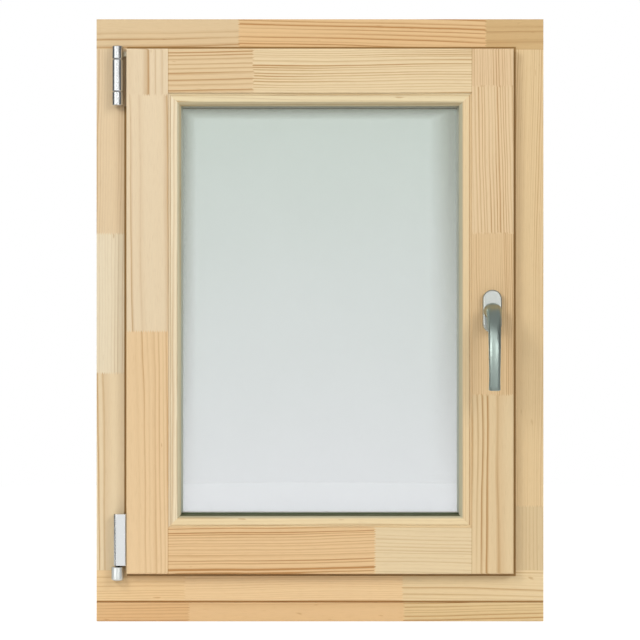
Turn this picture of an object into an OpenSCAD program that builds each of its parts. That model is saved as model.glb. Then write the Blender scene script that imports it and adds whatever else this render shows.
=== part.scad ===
// Inward opening tilt and turn window of laminated pine, complete with its fixed frame.
// X runs to the right as seen from the room, the room lies on the -Y side and Z is up.
// The origin is the middle of the underside of the sill strip, at half the frame's depth.

/* [Frame] */
// Width over the frame
frame_w = 650; // [600:1:1200]
// Height of the frame above the sill strip
frame_h = 848; // [800:1:1600]
// Depth of the frame timber
frame_depth = 68; // [66:1:80]
// Room side width of the jambs and the head
frame_face = 46.5; // [44:0.5:60]
// Room side height of the sill
sill_face = 49; // [44:0.5:60]
// Width of the outer lip past the room side width
lip_w = 24; // [22:0.5:28]
// Thickness of the outer lip
lip_t = 30; // [28:0.5:32]
// Height of the strip under the sill
strip_h = 28; // [15:1:60]
// Radius of the rounded timber edges
arris_r = 2.5; // [1:0.5:3.5]

/* [Sash] */
// Depth of the sash timber
sash_depth = 68; // [67:0.5:74]
// How far the sash stands in front of the frame's face
sash_proud = 18; // [17.5:0.5:20]
// Width of the stiles up to the glazing beads
stile_w = 60.5; // [58:0.5:80]
// Width of the top rail up to its bead
top_rail_w = 64; // [60:0.5:80]
// Width of the bottom rail up to its bead
bottom_rail_w = 67.5; // [60:0.5:80]
// Width of the flange that covers the frame
flange_w = 12; // [11.5:0.5:15]
// How far the sash laps over the sill on the room side
sill_lap = 6.5; // [2:0.5:7]
// Thickness of that flange
flange_t = 14; // [13:0.5:14]
// Air between sash and frame in the rebate
rebate_air = 10; // [9.5:0.5:12]
// Room for the seal between sash and stop face
seal_gap = 5; // [4:0.5:6]

/* [Glazing] */
// Thickness of each pane
pane_t = 4; // [3:0.5:5]
// Width of the sealed space between the panes
cavity_t = 16; // [12:1:16]
// Thickness of the tape on both sides of the glass
tape_t = 3; // [2:0.5:4]
// Width of the outer lip that holds the glass
glass_lip_w = 18.5; // [18:0.5:24]
// Thickness of that lip
glass_lip_t = 16; // [14:0.5:18]
// Width of the glazing beads
bead_w = 18; // [16:0.5:21]
// How far the beads lie behind the sash's face
bead_recess = 2; // [1:0.5:4]
// Air round the edge of the glass
glass_air = 4; // [3:0.5:5]

/* [Hinges] */
// Distance of the hinge axis from the sash's edge
hinge_side = 13; // [12.8:0.1:14]
// Distance of the hinge axis in front of the frame's face
hinge_front = 10; // [9.8:0.1:11]
// Radius of the hinge barrels
barrel_r = 8.3; // [7.8:0.1:8.6]
// Radius of the hinge pin
hinge_pin_r = 3; // [2.5:0.1:3.5]
// Height of the stay arm's eye
eye_h = 19.2; // [15:0.1:25]
// Height of the bearing barrel
stay_barrel_h = 46.6; // [40:0.1:60]
// Height of the pin's head
pin_head_h = 20; // [15:0.1:25]
// Height of the tilt axis above the sash's underside
tilt_rise = 16.5; // [15.5:0.1:18]
// Height of the corner hinge's cap
hinge_cap_h = 74.4; // [66:0.1:90]

/* [Handle] */
// Width of the rosette
rosette_w = 27.5; // [27:0.5:36]
// Height of the rosette
rosette_h = 62.5; // [60:0.5:80]
// Thickness of the rosette
rosette_t = 10; // [8:0.5:12]
// Length of the lever from its pivot to its end
lever_len = 113; // [90:1:140]
// How far the lever's front stands out from the rosette
lever_reach = 54; // [46:1:60]
// Width of the lever below its neck
lever_w = 18.8; // [15:0.1:22]
// Side of the square spindle
spindle_side = 7; // [6:0.5:8]
// Distance between the handle screws
handle_screw_pitch = 43; // [42:0.5:46]

/* [Locking gear] */
// Distance of the spindle from the edge of the sash body
backset = 19.5; // [16.5:0.5:20]
// Distance of the gear's groove behind the flange
groove_axis = 13; // [12.5:0.5:15]
// Width of the faceplates
faceplate_w = 16; // [15:0.5:18]
// Thickness of the faceplates
faceplate_t = 2.5; // [2:0.1:3]
// Teeth on the pinion
pinion_teeth = 20; // [18:1:22]
// Size of a tooth: pitch diameter over number of teeth
tooth_size = 1; // [0.9:0.05:1.05]

/* [Hidden] */
$fn = 48;
// Overrun of every cut past the face that it opens
over = 1;
// Radial clearance of shafts that turn
run_fit = 0.04;
// Clearance of pieces that slide or swing past each other
play = 0.4;
// Clearance of pieces that are pushed together and stay
snug = 0.1;
// Straight pieces in each rounded edge
arc_steps = 4;

// Frame: heights and depths of its faces
frame_top = strip_h + frame_h;
frame_y0 = -frame_depth / 2;
frame_y1 = frame_depth / 2;
stop_y = frame_y1 - lip_t;
sill_drop = 6.5;
strip_tongue_w = 12;
strip_tongue_h = 8;
strip_chamfer = 1.5;

// Sash: outer edges, and distances of its steps from the flange's edge
sash_inset = frame_face + rebate_air - flange_w;
sash_w = frame_w - 2 * sash_inset;
sash_x = sash_w / 2;
sash_z0 = strip_h + sill_face - sill_lap;
sash_z1 = frame_top - sash_inset;
sash_h = sash_z1 - sash_z0;
sash_y0 = frame_y0 - sash_proud;
sash_y1 = sash_y0 + sash_depth;
flange_y = sash_y0 + flange_t;
body_y1 = stop_y - seal_gap;
lip_side_gap = 4;
outer_u = flange_w - rebate_air + lip_w + lip_side_gap;
body_x = sash_x - flange_w;
body_z0 = sash_z0 + flange_w;
body_z1 = sash_z1 - flange_w;

// Glazing: places of the layers behind the glass lip
rebate_y = sash_y1 - glass_lip_t;
glass_y1 = rebate_y - tape_t;
glass_y0 = glass_y1 - 2 * pane_t - cavity_t;
bead_y1 = glass_y0 - tape_t;
bead_y0 = sash_y0 + bead_recess;
open_x = sash_x - stile_w;
open_z0 = sash_z0 + bottom_rail_w;
open_z1 = sash_z1 - top_rail_w;
spacer_past = 3.5;
spacer_inset = glass_lip_w - spacer_past;
spacer_w = 6;
tape_w = 9;
tape_show = 2.4;
block_len = 90;
seal_squeeze = 0.3;
seal_w = 9;
seal_lip_t = 1.6;
lap_seal_w = 4.2;
lap_seal_t = 1.2;
bead_roll_w = 3;
bead_roll_h = 0.5;
bead_quirk_w = 1;
bead_quirk_h = 1.4;
bead_flat_w = 8.8;
bead_slope_h = 7;

// Corner joints: twin tenons
tenon_t = 10;
tenon_pitch = 17;
tenon_len = 32;
sash_tenon_len = 28;
tenon_side = 7;
sash_tenon_root = 34;
sash_tenon_w = 22;
glue_gap = 0.3;

// Hinge side: axis and heights
axis_x = -sash_x - hinge_side;
axis_y = frame_y0 - hinge_front;
web_t = 2.2;
web_y = (flange_y + frame_y0) / 2;
eye_rise = 4.5;
eye_top = sash_z1 + eye_rise;
eye_z = eye_top - eye_h;
stay_barrel_top = eye_z - play;
stay_barrel_z = stay_barrel_top - stay_barrel_h;
pin_head_top = stay_barrel_z - play;
pin_head_z = pin_head_top - pin_head_h;
barrel_round = 1.2;
peg_r = 3.5;
peg_len = 22;
arm_lift = 2;
arm_z = body_z1 + arm_lift;
arm_w = 14;
arm_t = 3;
arm_h = 7;
arm_share = 0.4938;
arm_len = arm_share * sash_w;
arm_pin_x = axis_x + arm_len;
arm_pin_r = 2.5;
arm_pin_len = 8;
guide_slot_w = 8;
guide_travel = 13.5;
guide_end = 22;
guide_h = 11;
tilt_z = sash_z0 + tilt_rise;
trunnion_r = 2.2;
stem_r = 3.5;
hinge_eye_h = 4.1;
hinge_cap_z = tilt_z - hinge_eye_h - snug;
hinge_cap_top = hinge_cap_z + hinge_cap_h;
hinge_cap_left = 5;
hinge_cap_gap = 0.6;
hinge_cap_right = hinge_side - hinge_cap_gap;
hinge_cap_front = barrel_r;
hinge_cap_air = 4;
hinge_cap_back = hinge_front - hinge_cap_air;
cap_wall = 1.2;
frame_cap_gap = 3.8;
frame_cap_r = hinge_side - frame_cap_gap;
cap_gap = 2.6;
frame_cap_top = hinge_cap_z - cap_gap;
frame_cap_h = 19.6;
frame_cap_round = 3.5;
corner_barrel_r = 6.4;
corner_peg_r = 2.6;
corner_peg_pitch = 9;
foot_w = 11;
eye_roof = 2.6;
hinge_eye_d = 5;
hinge_post_lift = 6;
hinge_post_left = 3.5;
strap_x = 2;
strap_lift = 9;
strap_drop = 7;
hinge_round_left = 3;
hinge_round_right = 1.5;
frame_cap_z = frame_cap_top - frame_cap_h;
corner_floor = 1.5;
rail_h_gap = 3.5;
rail_h = sash_z0 + outer_u - rail_h_gap - strip_h - sill_face;
rail_t = 1.6;
rail_hook = 6;
rail_nose = 5;
rail_drip = 7;
rail_cap_t = 4;
leg_t = 2.5;
leg_drop = 12;
leg_screw_len = stile_w - flange_w - sash_tenon_len;

// Locking gear: pinion, rack, rods and cams
groove_y = flange_y + groove_axis;
spindle_x = body_x - backset;
handle_z = (sash_z0 + sash_z1) / 2;
pitch_r = pinion_teeth * tooth_size / 2;
tip_r = pitch_r + tooth_size;
root_share = 1.25;
root_r = pitch_r - root_share * tooth_size;
pressure_angle = 20;
tooth_gap = 0.24;
pinion_w = 8;
journal_r = 5.6;
rod_w = 9;
rack_x = spindle_x + pitch_r;
rod_x0 = rack_x + root_share * tooth_size;
rod_x1 = body_x - faceplate_t - play / 2;
rod_inset = body_x - rod_x0;
rod_t = rod_x1 - rod_x0;
groove_w = rod_w + 2 * play;
rod_travel = pitch_r * PI;
rack_end = 10.5;
case_w = 12;
case_end = 4;
case_z = rod_travel + rack_end + case_end;
case_back = 14.5;
cam_r = 5;
cam_stud_r = 3.5;
cam_stand = 6.3;
keep_t = 2.8;
keep_l = 62;
keep_w = 18;
corner_leg = 40;
rod_end_gap = 4;
rod_stop = 12;
side_lift = 20;
cam_inset = 70;
screw_end = 6;
handle_head_r = 4.2;
handle_head_t = 3;
screw_r = 1.9;
screw_head_r = 3.6;
screw_head_t = 2;
screw_len = 24;
face_screw_len = 15;

// Handle: neck, base and screws
neck_r = 9;
base_t = 6;
base_wall = 1.4;
handle_screw_r = 2.4;
rosette_round = 2.5;
handle_y = sash_y0 - rosette_t;

// Colours
pine = "#e6cda0";
pine_dark = "#dcba86";
chrome = "#d8dadc";
steel = "#b9bcc0";
satin = "#c3cac8";
zinc = "#9ea3a6";
rubber = "#3a3733";
pale_rubber = "#bfc3ba";
plastic = "#b0a99c";

// Shapes that many pieces share

// Solid between two opposite corners
module box(a, b) { translate(a) cube(b - a); }

// Round bars from a point to the right, to the outside and upwards
module bar_x(p, r, l) { translate(p) rotate([0, 90, 0]) cylinder(h = l, r = r); }
module bar_y(p, r, l) { translate(p) rotate([-90, 0, 0]) cylinder(h = l, r = r); }
module bar_z(p, r, l) { translate(p) cylinder(h = l, r = r); }

// Countersunk screw along +Z, with the face of its head at zero
module screw(l, gap = 0) {
    cylinder(h = screw_head_t, r1 = screw_head_r + gap, r2 = screw_r + gap);
    cylinder(h = l + gap, r = screw_r + gap);
}

// Screws that go in to the right, to the left, to the outside, upwards and downwards
module screw_right(p, l, gap = 0) { translate(p) rotate([0, 90, 0]) screw(l, gap); }
module screw_left(p, l, gap = 0) { translate(p) rotate([0, -90, 0]) screw(l, gap); }
module screw_up(p, l, gap = 0) { translate(p) screw(l, gap); }
module screw_down(p, l, gap = 0) { translate(p) rotate([180, 0, 0]) screw(l, gap); }

function unit(v) = v / norm(v);

// Points of the arc that rounds the corner p between its neighbours a and b
function corner_arc(p, a, b, r) =
    let (
        u = unit(a - p),
        v = unit(b - p),
        half = acos(u * v) / 2,
        c = p + unit(u + v) * r / sin(half),
        s = p + u * r / tan(half) - c,
        e = p + v * r / tan(half) - c,
        start = atan2(s[1], s[0]),
        turn = atan2(e[1], e[0]) - start,
        sweep = turn > 180 ? turn - 360 : turn < -180 ? turn + 360 : turn
    )
    [for (k = [0:arc_steps])
        let (w = start + sweep * k / arc_steps)
        c + r * [cos(w), sin(w)]];

// Outline through corners [x, y, r], each rounded by its own radius
function rounded(corners) =
    let (n = len(corners), flat = [for (p = corners) [p[0], p[1]]])
    [for (i = [0:n - 1])
        each corners[i][2] == 0
            ? [flat[i]]
            : corner_arc(flat[i], flat[(i + n - 1) % n], flat[(i + 1) % n], corners[i][2])];

// Long pieces from a section of (distance in from the edge, depth)
module upright(section, x, z0, z1) {
    translate([x, 0, z0]) linear_extrude(z1 - z0) polygon(section);
}
module hung(section, x0, x1, z) {
    translate([x0, 0, z]) rotate([0, 90, 0]) linear_extrude(x1 - x0) polygon(section);
}
module laid(section, x0, x1, z) {
    translate([x0, 0, z]) mirror([0, 0, 1]) rotate([0, 90, 0]) linear_extrude(x1 - x0) polygon(section);
}

// Four-sided band round the sash, from one distance in from its edge to another
module sash_band(u0, u1, y0, y1) {
    difference() {
        box([-sash_x + u0, y0, sash_z0 + u0], [sash_x - u0, y1, sash_z1 - u0]);
        box([-sash_x + u1, y0 - over, sash_z0 + u1], [sash_x - u1, y1 + over, sash_z1 - u1]);
    }
}

// Band and whole plate inside the glazed opening, at a distance in from its edge
module glazing_band(u0, u1, y0, y1) {
    difference() {
        glazing_plate(u0, y0, y1);
        glazing_plate(u1, y0 - over, y1 + over);
    }
}
module glazing_plate(u, y0, y1) {
    box([-open_x + u, y0, open_z0 + u], [open_x - u, y1, open_z1 - u]);
}

// Frame

jamb_section = rounded([
    [0, frame_y0, 0],
    [frame_face, frame_y0, arris_r],
    [frame_face, stop_y, 0],
    [frame_face + lip_w, stop_y, arris_r],
    [frame_face + lip_w, frame_y1, arris_r],
    [0, frame_y1, 0]
]);

sill_section = rounded([
    [0, frame_y0, strip_chamfer],
    [sill_face, frame_y0, arris_r],
    [sill_face, stop_y, 0],
    [sill_face - sill_drop, frame_y1, arris_r],
    [0, frame_y1, 0]
]);

module head_bar() { hung(jamb_section, -frame_w / 2, frame_w / 2, frame_top); }
module sill_bar() { laid(sill_section, -frame_w / 2, frame_w / 2, strip_h); }

// Twin tenons of the left jamb, or their mortises with a glue gap
module jamb_tenons(gap = 0) {
    for (k = [0:1]) {
        y = frame_y0 + tenon_side + k * tenon_pitch;
        box(
            [-frame_w / 2 + tenon_side - gap, y - gap, strip_h + sill_face - tenon_len - gap],
            [-frame_w / 2 + frame_face - tenon_side + gap, y + tenon_t + gap,
                frame_top - frame_face + tenon_len + gap]);
    }
}

module frame_head() {
    color(pine_dark)
    difference() {
        head_bar();
        jamb_tenons(glue_gap);
        mirror([1, 0, 0]) jamb_tenons(glue_gap);
        keep_screw_places("head", snug);
    }
}

module frame_sill() {
    color(pine_dark)
    difference() {
        sill_bar();
        jamb_tenons(glue_gap);
        mirror([1, 0, 0]) jamb_tenons(glue_gap);
        box(
            [-frame_w / 2 - over, -strip_tongue_w / 2 - glue_gap, strip_h - over],
            [frame_w / 2 + over, strip_tongue_w / 2 + glue_gap, strip_h + strip_tongue_h + glue_gap]);
        corner_pegs(snug);
    }
}

module jamb() {
    difference() {
        upright(jamb_section, -frame_w / 2, strip_h + sill_face / 2, frame_top - frame_face / 2);
        head_bar();
        sill_bar();
    }
    difference() {
        jamb_tenons();
        box(
            [-frame_w / 2, frame_y0, strip_h + sill_face],
            [-frame_w / 2 + frame_face, frame_y1, frame_top - frame_face]);
    }
}

module frame_left_jamb() {
    color(pine)
    difference() {
        jamb();
        stay_pegs(snug);
        corner_pegs(snug);
    }
}

module frame_right_jamb() {
    color(pine)
    difference() {
        mirror([1, 0, 0]) jamb();
        keep_screw_places("side", snug);
    }
}

// Packing strip under the sill, tongued into it, with a small V where the faces meet
strip_section = rounded([
    [0, frame_y0, strip_chamfer],
    [0, frame_y1, 0],
    [strip_h, frame_y1, 0],
    [strip_h, strip_tongue_w / 2, 0],
    [strip_h + strip_tongue_h, strip_tongue_w / 2, 0],
    [strip_h + strip_tongue_h, -strip_tongue_w / 2, 0],
    [strip_h, -strip_tongue_w / 2, 0],
    [strip_h, frame_y0, strip_chamfer]
]);

module sill_strip() { color(pine_dark) laid(strip_section, -frame_w / 2, frame_w / 2, 0); }

// Aluminium rain rail on the sill, with a drip nose outside and a gutter wall at the stop face
rail_fall_share = sill_drop / lip_t;
rail_nose_y = frame_y1 + rail_nose;
rail_nose_h = sill_face - rail_fall_share * (lip_t + rail_nose);
rail_x = frame_w / 2 - frame_face - lip_w - rail_cap_t;
rail_section = [
    [sill_face, stop_y],
    [sill_face + rail_h, stop_y],
    [sill_face + rail_h, stop_y + rail_hook],
    [sill_face + rail_h - rail_t, stop_y + rail_hook],
    [sill_face + rail_h - rail_t, stop_y + rail_t],
    [sill_face + rail_t - rail_fall_share * rail_t, stop_y + rail_t],
    [rail_nose_h + rail_t, rail_nose_y],
    [rail_nose_h - rail_drip, rail_nose_y],
    [rail_nose_h - rail_drip, rail_nose_y - rail_t],
    [rail_nose_h + rail_fall_share * rail_t, rail_nose_y - rail_t]
];
rail_cap_section = [
    [sill_face, stop_y],
    [sill_face + rail_h, stop_y],
    [sill_face + rail_h, stop_y + rail_hook],
    [rail_nose_h + rail_t, rail_nose_y],
    [rail_nose_h - rail_drip, rail_nose_y],
    [rail_nose_h - rail_drip, rail_nose_y - rail_t],
    [rail_nose_h + rail_fall_share * rail_t, rail_nose_y - rail_t]
];

module rain_rail() { color(zinc) laid(rail_section, -rail_x, rail_x, strip_h); }

module rain_rail_end_caps() {
    color(plastic)
    for (s = [0:1])
        mirror([s, 0, 0]) laid(rail_cap_section, rail_x, rail_x + rail_cap_t, strip_h);
}

// Turned barrel on the hinge axis, with rounded rims
module barrel(r, z0, z1, round_r) {
    translate([axis_x, axis_y, z0])
    rotate_extrude()
    polygon(rounded([[0, 0, 0], [r, 0, round_r], [r, z1 - z0, round_r], [0, z1 - z0, 0]]));
}

// Two pegs that carry the stay bearing in the jamb
module stay_pegs(gap = 0) {
    for (z = [stay_barrel_z + stay_barrel_h / 4, stay_barrel_top - stay_barrel_h / 4])
        bar_y([axis_x, frame_y0 - gap, z], peg_r + gap, peg_len + 2 * gap);
}

module stay_bearing() {
    color(chrome)
    difference() {
        union() {
            barrel(barrel_r, stay_barrel_z, stay_barrel_top, barrel_round);
            box(
                [axis_x - foot_w / 2, axis_y, stay_barrel_z + barrel_round],
                [axis_x + foot_w / 2, frame_y0, stay_barrel_top - barrel_round]);
            stay_pegs();
        }
        bar_z([axis_x, axis_y, stay_barrel_z - over], hinge_pin_r + snug, stay_barrel_h + 2 * over);
    }
}

module stay_pin() {
    color(chrome) {
        barrel(barrel_r, pin_head_z, pin_head_top, barrel_round);
        bar_z([axis_x, axis_y, pin_head_top - over], hinge_pin_r, eye_top - eye_roof - play - pin_head_top + over);
    }
}

// Two pegs that carry the corner bearing where jamb and sill meet
module corner_pegs(gap = 0) {
    z = (frame_cap_z + frame_cap_top) / 2;
    for (k = [-1, 1])
        bar_y([axis_x, frame_y0 - gap, z + k * corner_peg_pitch / 2], corner_peg_r + gap, peg_len + 2 * gap);
}

corner_z = frame_cap_z + cap_wall + snug;
corner_top = frame_cap_top - cap_wall / 2;
module corner_bearing() {
    color(steel)
    difference() {
        union() {
            bar_z([axis_x, axis_y, corner_z], corner_barrel_r, corner_top - corner_z);
            box(
                [axis_x - foot_w / 2, axis_y, corner_z],
                [axis_x + foot_w / 2, frame_y0, corner_top]);
            corner_pegs();
        }
        bar_z([axis_x, axis_y, corner_z + corner_floor], stem_r + run_fit, frame_cap_h);
    }
}

// Cap over the corner bearing: a turned cup with a domed bottom, open at the back
module corner_bearing_cap() {
    color(chrome)
    difference() {
        translate([axis_x, axis_y, frame_cap_z])
            rotate_extrude()
            polygon(rounded([
                [0, 0, 0],
                [frame_cap_r, 0, frame_cap_round],
                [frame_cap_r, frame_cap_h, 0],
                [0, frame_cap_h, 0]
            ]));
        bar_z([axis_x, axis_y, frame_cap_z + cap_wall], corner_barrel_r + snug, frame_cap_h);
        box(
            [axis_x - foot_w / 2 - snug, axis_y, frame_cap_z + cap_wall],
            [axis_x + foot_w / 2 + snug, frame_y0, frame_cap_top + over]);
    }
}

// Swivel between frame and sash: an upright stem that turns, and a cross axle that tilts
module corner_pivot() {
    color(steel) {
        bar_z([axis_x, axis_y, corner_z + corner_floor + snug], stem_r,
            tilt_z + hinge_eye_h - corner_z - corner_floor - snug);
        bar_x([axis_x, axis_y, tilt_z], trunnion_r, hinge_cap_right - cap_wall - play);
    }
}

// Stay arm: eye on the hinge axis, web behind the flange, crank round the jamb, flat bar above the sash
crank_x = -(frame_w / 2 - frame_face + body_x) / 2;
module stay_arm() {
    color(steel)
    difference() {
        union() {
            barrel(barrel_r, eye_z, eye_top, barrel_round);
            box(
                [axis_x, web_y - web_t / 2, arm_z],
                [crank_x + web_t / 2, web_y + web_t / 2, arm_z + arm_h]);
            box(
                [crank_x - web_t / 2, web_y - web_t / 2, arm_z],
                [crank_x + web_t / 2, groove_y + arm_w / 2, arm_z + arm_h]);
            box(
                [crank_x - web_t / 2, groove_y - arm_w / 2, arm_z],
                [arm_pin_x, groove_y + arm_w / 2, arm_z + arm_t]);
            bar_z([arm_pin_x, groove_y, arm_z], arm_w / 2, arm_t);
        }
        bar_z([axis_x, axis_y, eye_z - over], hinge_pin_r + run_fit, eye_h - eye_roof + over);
        bar_z([arm_pin_x, groove_y, arm_z - over], arm_pin_r + run_fit, arm_t + 2 * over);
    }
}

// Riveted pin that runs in the guide
rivet_t = 1.2;
rivet_r = 4;
module stay_arm_pin() {
    color(steel) {
        bar_z([arm_pin_x, groove_y, arm_z - arm_pin_len], arm_pin_r, arm_pin_len + arm_t + rivet_t);
        bar_z([arm_pin_x, groove_y, arm_z + arm_t], rivet_r, rivet_t);
    }
}

// Corner hinge on the sash: eye on the cross axle, post, strap behind the flange, leg on the stile
hinge_eye_x0 = axis_x + stem_r + play;
hinge_eye_x1 = axis_x + hinge_cap_right - cap_wall - snug;
hinge_post_y0 = axis_y - hinge_cap_front + cap_wall + snug;
hinge_post_top = hinge_cap_top - cap_wall - snug;
strap_z0 = tilt_z + strap_lift;
strap_z1 = hinge_cap_top - strap_drop;
leg_y1 = body_y1 - lip_side_gap / 2;
module corner_hinge() {
    color(steel)
    difference() {
        union() {
            box(
                [hinge_eye_x0, axis_y - hinge_eye_d, tilt_z - hinge_eye_h],
                [hinge_eye_x1, axis_y + hinge_eye_d, tilt_z + hinge_post_lift + over]);
            box(
                [axis_x - hinge_post_left, hinge_post_y0, tilt_z + hinge_post_lift],
                [hinge_eye_x1, axis_y + hinge_cap_back - snug, hinge_post_top]);
            box(
                [axis_x + strap_x, axis_y + hinge_eye_d, strap_z0],
                [hinge_eye_x1, web_y + web_t / 2, strap_z1]);
            box(
                [axis_x + strap_x, web_y - web_t / 2, strap_z0],
                [-body_x, web_y + web_t / 2, strap_z1]);
            box(
                [-body_x - leg_t, web_y - web_t / 2, strap_z0],
                [-body_x, leg_y1, strap_z1]);
        }
        bar_x([axis_x, axis_y, tilt_z], trunnion_r + run_fit, hinge_side + hinge_side);
        corner_hinge_screw_places(snug);
    }
}

module corner_hinge_screw_places(gap = 0) {
    for (k = [0:2])
        screw_right(
            [-body_x - leg_t, (flange_y + body_y1) / 2,
                strap_z0 + leg_drop + k * (strap_z1 - strap_z0 - 2 * leg_drop) / 2],
            leg_screw_len, gap);
}

module corner_hinge_screws() { color(steel) corner_hinge_screw_places(); }

// Drawn cap that slides over the post of the corner hinge
module corner_hinge_cap() {
    color(chrome)
    difference() {
        translate([axis_x, axis_y, hinge_cap_z])
            linear_extrude(hinge_cap_h)
            polygon(rounded([
                [-hinge_cap_left, -hinge_cap_front, hinge_round_left],
                [hinge_cap_right, -hinge_cap_front, hinge_round_right],
                [hinge_cap_right, hinge_cap_back, 0],
                [-hinge_cap_left, hinge_cap_back, 0]
            ]));
        box(
            [axis_x - hinge_cap_left + cap_wall, axis_y - hinge_cap_front + cap_wall, hinge_cap_z - over],
            [axis_x + hinge_cap_right - cap_wall, axis_y + hinge_cap_back + over, hinge_cap_top - cap_wall]);
    }
}

// Sash timber

// Steps of the sash's outer edge, from the flange inwards
function edge_steps(inner) = [
    [0, sash_y0, arris_r],
    [inner, sash_y0, 0],
    [inner, rebate_y, 0],
    [inner + glass_lip_w, rebate_y, 0],
    [inner + glass_lip_w, sash_y1, arris_r],
    [outer_u, sash_y1, arris_r],
    [outer_u, body_y1, 0],
    [flange_w, body_y1, 0],
    [flange_w, flange_y, 0],
    [0, flange_y, 0]
];
stile_section = rounded(edge_steps(stile_w));

// The same steps at the top and the bottom at once, which shape the ends of the stiles
sash_ends = rounded([
    [0, sash_y0, arris_r],
    [sash_h, sash_y0, arris_r],
    [sash_h, flange_y, 0],
    [sash_h - flange_w, flange_y, 0],
    [sash_h - flange_w, body_y1, 0],
    [sash_h - outer_u, body_y1, 0],
    [sash_h - outer_u, sash_y1, arris_r],
    [outer_u, sash_y1, arris_r],
    [outer_u, body_y1, 0],
    [flange_w, body_y1, 0],
    [flange_w, flange_y, 0],
    [0, flange_y, 0]
]);

// Stretch of a rail between the stiles, shorter behind the glass
rail_back_half = open_x - glass_lip_w;
module rail_reach() {
    translate([0, 0, sash_z0])
    linear_extrude(sash_h)
    polygon([
        [-open_x, sash_y0 - over], [open_x, sash_y0 - over],
        [open_x, rebate_y], [rail_back_half, rebate_y],
        [rail_back_half, sash_y1 + over], [-rail_back_half, sash_y1 + over],
        [-rail_back_half, rebate_y], [-open_x, rebate_y]
    ]);
}

// Twin tenons at both ends of the top rail, or their mortises with a glue gap
module top_tenons(gap = 0) {
    for (s = [0:1], k = [0:1]) {
        y = flange_y + tenon_side + k * tenon_pitch;
        mirror([s, 0, 0])
        box(
            [open_x - gap - over * sign(gap), y - gap, sash_z1 - sash_tenon_root - sash_tenon_w - gap],
            [open_x + sash_tenon_len + gap, y + tenon_t + gap, sash_z1 - sash_tenon_root + gap]);
    }
}
module bottom_tenons(gap = 0) {
    translate([0, 0, sash_z0 + sash_z1]) mirror([0, 0, 1]) top_tenons(gap);
}

module stile() {
    difference() {
        intersection() {
            upright(stile_section, -sash_x, sash_z0, sash_z1);
            hung(sash_ends, -sash_x, sash_x, sash_z1);
        }
        top_tenons(glue_gap);
        bottom_tenons(glue_gap);
    }
}

module sash_left_stile() {
    color(pine)
    difference() {
        stile();
        corner_hinge_screw_places(snug);
    }
}

module sash_right_stile() {
    color(pine)
    difference() {
        mirror([1, 0, 0]) stile();
        side_groove();
        top_groove();
        gearbox_pocket();
        bar_y([spindle_x, sash_y0 - over, handle_z], journal_r + play, groove_y - sash_y0);
        handle_screw_places(snug);
        faceplate_screw_places(snug);
    }
}

module sash_top_rail() {
    color(pine_dark)
    difference() {
        union() {
            intersection() {
                hung(rounded(edge_steps(top_rail_w)), -sash_x, sash_x, sash_z1);
                rail_reach();
            }
            top_tenons();
        }
        top_groove();
        guide_pocket();
        stay_guide_screw_places(snug);
        faceplate_screw_places(snug);
    }
}

module sash_bottom_rail() {
    color(pine_dark) {
        intersection() {
            laid(rounded(edge_steps(bottom_rail_w)), -sash_x, sash_x, sash_z0);
            rail_reach();
        }
        bottom_tenons();
    }
}

// Glazing

module outer_glazing_tape() {
    color(pale_rubber) glazing_band(glass_lip_w - tape_w, glass_lip_w, glass_y1, rebate_y);
}
module outer_pane() { color("lightcyan", 0.4) glazing_plate(glass_air, glass_y1 - pane_t, glass_y1); }
module inner_pane() { color("lightcyan", 0.4) glazing_plate(glass_air, glass_y0, glass_y0 + pane_t); }
module spacer_bar() {
    color(zinc) glazing_band(spacer_inset - spacer_w, spacer_inset, glass_y0 + pane_t, glass_y1 - pane_t);
}
module edge_seal() {
    color(rubber) glazing_band(glass_air, spacer_inset - spacer_w, glass_y0 + pane_t, glass_y1 - pane_t);
}
module inner_glazing_tape() {
    color(pale_rubber) glazing_band(bead_w - tape_w, bead_w + tape_show, bead_y1, glass_y0);
}

// Plastic blocks that carry and centre the glass in its rebate
module setting_blocks() {
    color(plastic) {
        for (s = [-1, 1]) {
            x = s * open_x / 2 - block_len / 2;
            box([x, glass_y0, open_z0], [x + block_len, glass_y1, open_z0 + glass_air]);
        }
        for (s = [0:1], z = [open_z0 + glass_air + block_len, open_z1 - glass_air - 2 * block_len])
            mirror([s, 0, 0])
            box([open_x - glass_air, glass_y0, z], [open_x, glass_y1, z + block_len]);
    }
}

// Soft seal on the sash's step, with a lip that meets the stop face
module sash_seal() {
    color(rubber) {
        sash_band(flange_w, flange_w + seal_w, body_y1, body_y1 + seal_lip_t);
        sash_band(flange_w + seal_w - seal_lip_t, flange_w + seal_w, body_y1, stop_y - seal_squeeze);
    }
}

// Flat seal stuck on the frame's face round the sash, left out where the hinges stand
module lap_strip(x0, x1, z0, z1) { box([x0, frame_y0 - lap_seal_t, z0], [x1, frame_y0, z1]); }
module lap_seal() {
    x0 = sash_x - snug;
    x1 = sash_x + lap_seal_w;
    z0 = sash_z0 - lap_seal_w;
    z1 = sash_z1 + lap_seal_w;
    color(rubber) {
        lap_strip(-x1, -x0, hinge_cap_top + play, pin_head_z - play);
        lap_strip(x0, x1, z0, z1);
        lap_strip(-sash_x, x1, sash_z1 - snug, z1);
        lap_strip(-sash_x, x1, z0, sash_z0 + snug);
    }
}

// Moulded glazing bead: roll next to the timber, quirk, flat, slope down to the glass
bead_flat_u = bead_roll_w + bead_quirk_w;
bead_section = rounded([
    [0, bead_y0 + bead_roll_h, 0],
    [bead_roll_w, bead_y0, bead_roll_h],
    [bead_roll_w, bead_y0 + bead_quirk_h, 0],
    [bead_flat_u, bead_y0 + bead_quirk_h, 0],
    [bead_flat_u, bead_y0, 0],
    [bead_flat_u + bead_flat_w, bead_y0, bead_quirk_h],
    [bead_w, bead_y0 + bead_slope_h, 0],
    [bead_w, bead_y1, 0],
    [0, bead_y1, 0]
]);

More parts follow.
